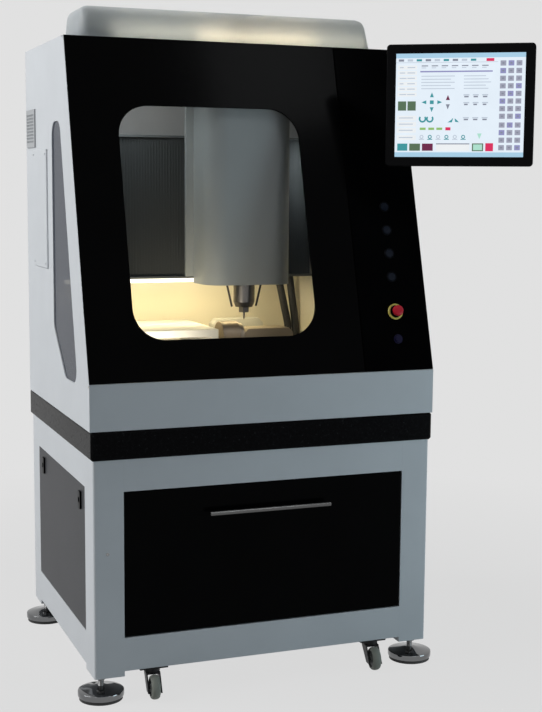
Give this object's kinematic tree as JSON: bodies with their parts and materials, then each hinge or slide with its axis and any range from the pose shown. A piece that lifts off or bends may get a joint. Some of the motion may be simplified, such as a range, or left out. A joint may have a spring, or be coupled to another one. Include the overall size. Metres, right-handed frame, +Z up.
{
  "type": "enclosed cnc engraving machine",
  "caption": "Floor-standing enclosed engraving and milling machine: granite bed on a cabinet with a drawer, sloping lift door, gantry spindle, rotary table axis and a screen on an arm.",
  "frame": {"origin": "on the floor under the middle of the cabinet stand", "axes": "+Z up, -Y out of the front with the door, +X to the right for someone who faces the front"},
  "size_m": [1.1875, 0.9858, 1.808],
  "materials": {
    "light_paint": "satin",
    "dark_paint": "satin",
    "black_gloss": "gloss",
    "granite": "polished",
    "hood_plastic": "satin",
    "smoked_glass": "gloss",
    "clear_glass": "gloss",
    "cream_liner": "satin",
    "machine_steel": "satin",
    "machine_cast": "satin",
    "head_white": "satin",
    "alloy": "satin",
    "bellows_fabric": "matte",
    "light_diffuser": "matte",
    "chrome": "polished",
    "zinc": "satin",
    "black_paint": "satin",
    "rubber_black": "matte",
    "wheel_grey": "matte",
    "black_plastic": "satin",
    "button_grey": "satin",
    "stop_red": "gloss",
    "stop_yellow": "gloss",
    "electrics_grey": "satin",
    "screen_glass": "gloss",
    "arm_grey": "satin"
  },
  "bodies": {
    "machine_frame": {"cabinet_frame": "light_paint", "fixed_cabinet_panels": "dark_paint", "electrics_box": "electrics_grey", "granite_base": "granite", "enclosure_left_wall": "light_paint", "enclosure_right_wall": "light_paint", "enclosure_rear_wall": "light_paint", "enclosure_roof": "light_paint", "front_sill": "light_paint", "control_fascia": "black_gloss", "estop_ring": "stop_yellow", "data_socket": "black_plastic", "side_window": "smoked_glass", "roof_hood": "hood_plastic", "vent_grille": "electrics_grey", "service_cover": "light_paint", "chamber_liner": "cream_liner", "gantry": "machine_cast", "guide_rails": "machine_steel", "led_bar": "light_diffuser", "way_bellows": "bellows_fabric", "conduits": "rubber_black", "foot_discs": "chrome", "foot_pads": "rubber_black", "castor_plates": "black_paint", "drawer_runners_fixed": "machine_steel", "arm_bracket": "arm_grey"},
    "door": {"door_panel": "black_gloss", "door_window": "clear_glass"},
    "drawer": {"drawer_front": "black_gloss", "drawer_tray": "zinc", "drawer_handle": "chrome"},
    "drawer_mid": {"drawer_runners_mid": "machine_steel"},
    "side_panel": {"left_side_panel": "dark_paint"},
    "latch_front": {"latch_front": "black_plastic"},
    "latch_rear": {"latch_rear": "black_plastic"},
    "x_carriage": {"x_saddle": "machine_steel", "head_cover": "head_white", "z_motor": "black_plastic"},
    "z_head": {"spindle_housing": "machine_cast", "coolant_nozzles": "alloy"},
    "spindle": {"spindle_nose": "machine_steel"},
    "y_table": {"work_table": "machine_cast", "rotary_headstock": "machine_cast"},
    "a_chuck": {"rotary_chuck": "machine_steel"},
    "screen_arm": {"monitor_arm": "arm_grey"},
    "screen_knuckle": {"monitor_knuckle": "arm_grey"},
    "screen": {"monitor_housing": "black_plastic", "monitor_screen": "screen_glass"},
    "button_1": {"button_1": "button_grey"},
    "button_2": {"button_2": "button_grey"},
    "button_3": {"button_3": "button_grey"},
    "button_4": {"button_4": "button_grey"},
    "estop": {"estop_button": "stop_red"},
    "fork_left": {"castor_fork_left": "black_paint"},
    "fork_right": {"castor_fork_right": "black_paint"},
    "wheel_front_left": {"castor_wheel_front_left": "wheel_grey"},
    "wheel_front_right": {"castor_wheel_front_right": "wheel_grey"},
    "wheel_rear_left": {"castor_wheel_rear_left": "wheel_grey"},
    "wheel_rear_right": {"castor_wheel_rear_right": "wheel_grey"}
  },
  "joints": [
    {"name": "door_lift", "type": "slide", "parent": "machine_frame", "child": "door", "axis": [0, 0.2714, 0.9625], "range_m": [0, 0.6]},
    {"name": "drawer_slide", "type": "slide", "parent": "machine_frame", "child": "drawer", "axis": [0, -1, 0], "range_m": [0, 0.4]},
    {"name": "drawer_mid_slide", "type": "slide", "parent": "machine_frame", "child": "drawer_mid", "axis": [0, -1, 0], "range_m": [0, 0.2]},
    {"name": "side_panel_off", "type": "slide", "parent": "machine_frame", "child": "side_panel", "axis": [-1, 0, 0], "range_m": [0, 0.15]},
    {"name": "latch_front_slide", "type": "slide", "parent": "side_panel", "child": "latch_front", "axis": [0, 0, -1], "range_m": [0, 0.006], "stiffness_N_per_m": 500},
    {"name": "latch_rear_slide", "type": "slide", "parent": "side_panel", "child": "latch_rear", "axis": [0, 0, -1], "range_m": [0, 0.006], "stiffness_N_per_m": 500},
    {"name": "x_axis", "type": "slide", "parent": "machine_frame", "child": "x_carriage", "axis": [1, 0, 0], "range_m": [-0.2, 0.06], "deforming": ["way_bellows"]},
    {"name": "z_axis", "type": "slide", "parent": "x_carriage", "child": "z_head", "axis": [0, 0, 1], "range_m": [0, 0.1]},
    {"name": "spindle_spin", "type": "hinge", "parent": "z_head", "child": "spindle", "pos_m": [0.034, -0.095, 0.98], "axis": [0, 0, 1], "continuous": true},
    {"name": "y_axis", "type": "slide", "parent": "machine_frame", "child": "y_table", "axis": [0, 1, 0], "range_m": [-0.1, 0.04]},
    {"name": "a_axis", "type": "hinge", "parent": "y_table", "child": "a_chuck", "pos_m": [0.0104, -0.095, 0.907], "axis": [1, 0, 0], "continuous": true},
    {"name": "arm_swivel", "type": "hinge", "parent": "machine_frame", "child": "screen_arm", "pos_m": [0.55791, -0.08, 1.546], "axis": [0, 0, 1], "range_deg": [0, 80]},
    {"name": "screen_pan", "type": "hinge", "parent": "screen_arm", "child": "screen_knuckle", "pos_m": [0.55791, -0.38175, 1.546], "axis": [0, 0, 1], "range_deg": [-20, 30]},
    {"name": "screen_tilt", "type": "hinge", "parent": "screen_knuckle", "child": "screen", "pos_m": [0.53885, -0.4111, 1.546], "axis": [0.8387, -0.5446, 0], "range_deg": [-12, 12]},
    {"name": "button_1_press", "type": "slide", "parent": "machine_frame", "child": "button_1", "axis": [0, 0.9625, -0.2714], "range_m": [0, 0.003], "stiffness_N_per_m": 500},
    {"name": "button_2_press", "type": "slide", "parent": "machine_frame", "child": "button_2", "axis": [0, 0.9625, -0.2714], "range_m": [0, 0.003], "stiffness_N_per_m": 500},
    {"name": "button_3_press", "type": "slide", "parent": "machine_frame", "child": "button_3", "axis": [0, 0.9625, -0.2714], "range_m": [0, 0.003], "stiffness_N_per_m": 500},
    {"name": "button_4_press", "type": "slide", "parent": "machine_frame", "child": "button_4", "axis": [0, 0.9625, -0.2714], "range_m": [0, 0.003], "stiffness_N_per_m": 500},
    {"name": "estop_press", "type": "slide", "parent": "machine_frame", "child": "estop", "axis": [0, 0.9625, -0.2714], "range_m": [0, 0.004], "stiffness_N_per_m": 800},
    {"name": "castor_swivel_left", "type": "hinge", "parent": "machine_frame", "child": "fork_left", "pos_m": [-0.316, -0.364, 0.0647], "axis": [0, 0, 1], "continuous": true},
    {"name": "wheel_front_left_spin", "type": "hinge", "parent": "fork_left", "child": "wheel_front_left", "pos_m": [-0.32018, -0.40378, 0.033], "axis": [0.9945, -0.1045, 0], "continuous": true},
    {"name": "wheel_rear_left_spin", "type": "hinge", "parent": "machine_frame", "child": "wheel_rear_left", "pos_m": [-0.316, 0.364, 0.033], "axis": [1, 0, 0], "continuous": true},
    {"name": "castor_swivel_right", "type": "hinge", "parent": "machine_frame", "child": "fork_right", "pos_m": [0.316, -0.364, 0.0647], "axis": [0, 0, 1], "continuous": true},
    {"name": "wheel_front_right_spin", "type": "hinge", "parent": "fork_right", "child": "wheel_front_right", "pos_m": [0.31182, -0.40378, 0.033], "axis": [0.9945, -0.1045, 0], "continuous": true},
    {"name": "wheel_rear_right_spin", "type": "hinge", "parent": "machine_frame", "child": "wheel_rear_right", "pos_m": [0.316, 0.364, 0.033], "axis": [1, 0, 0], "continuous": true}
  ],
  "couplings": [
    {"joint": "drawer_mid_slide", "follows": "drawer_slide", "ratio": 0.5}
  ]
}
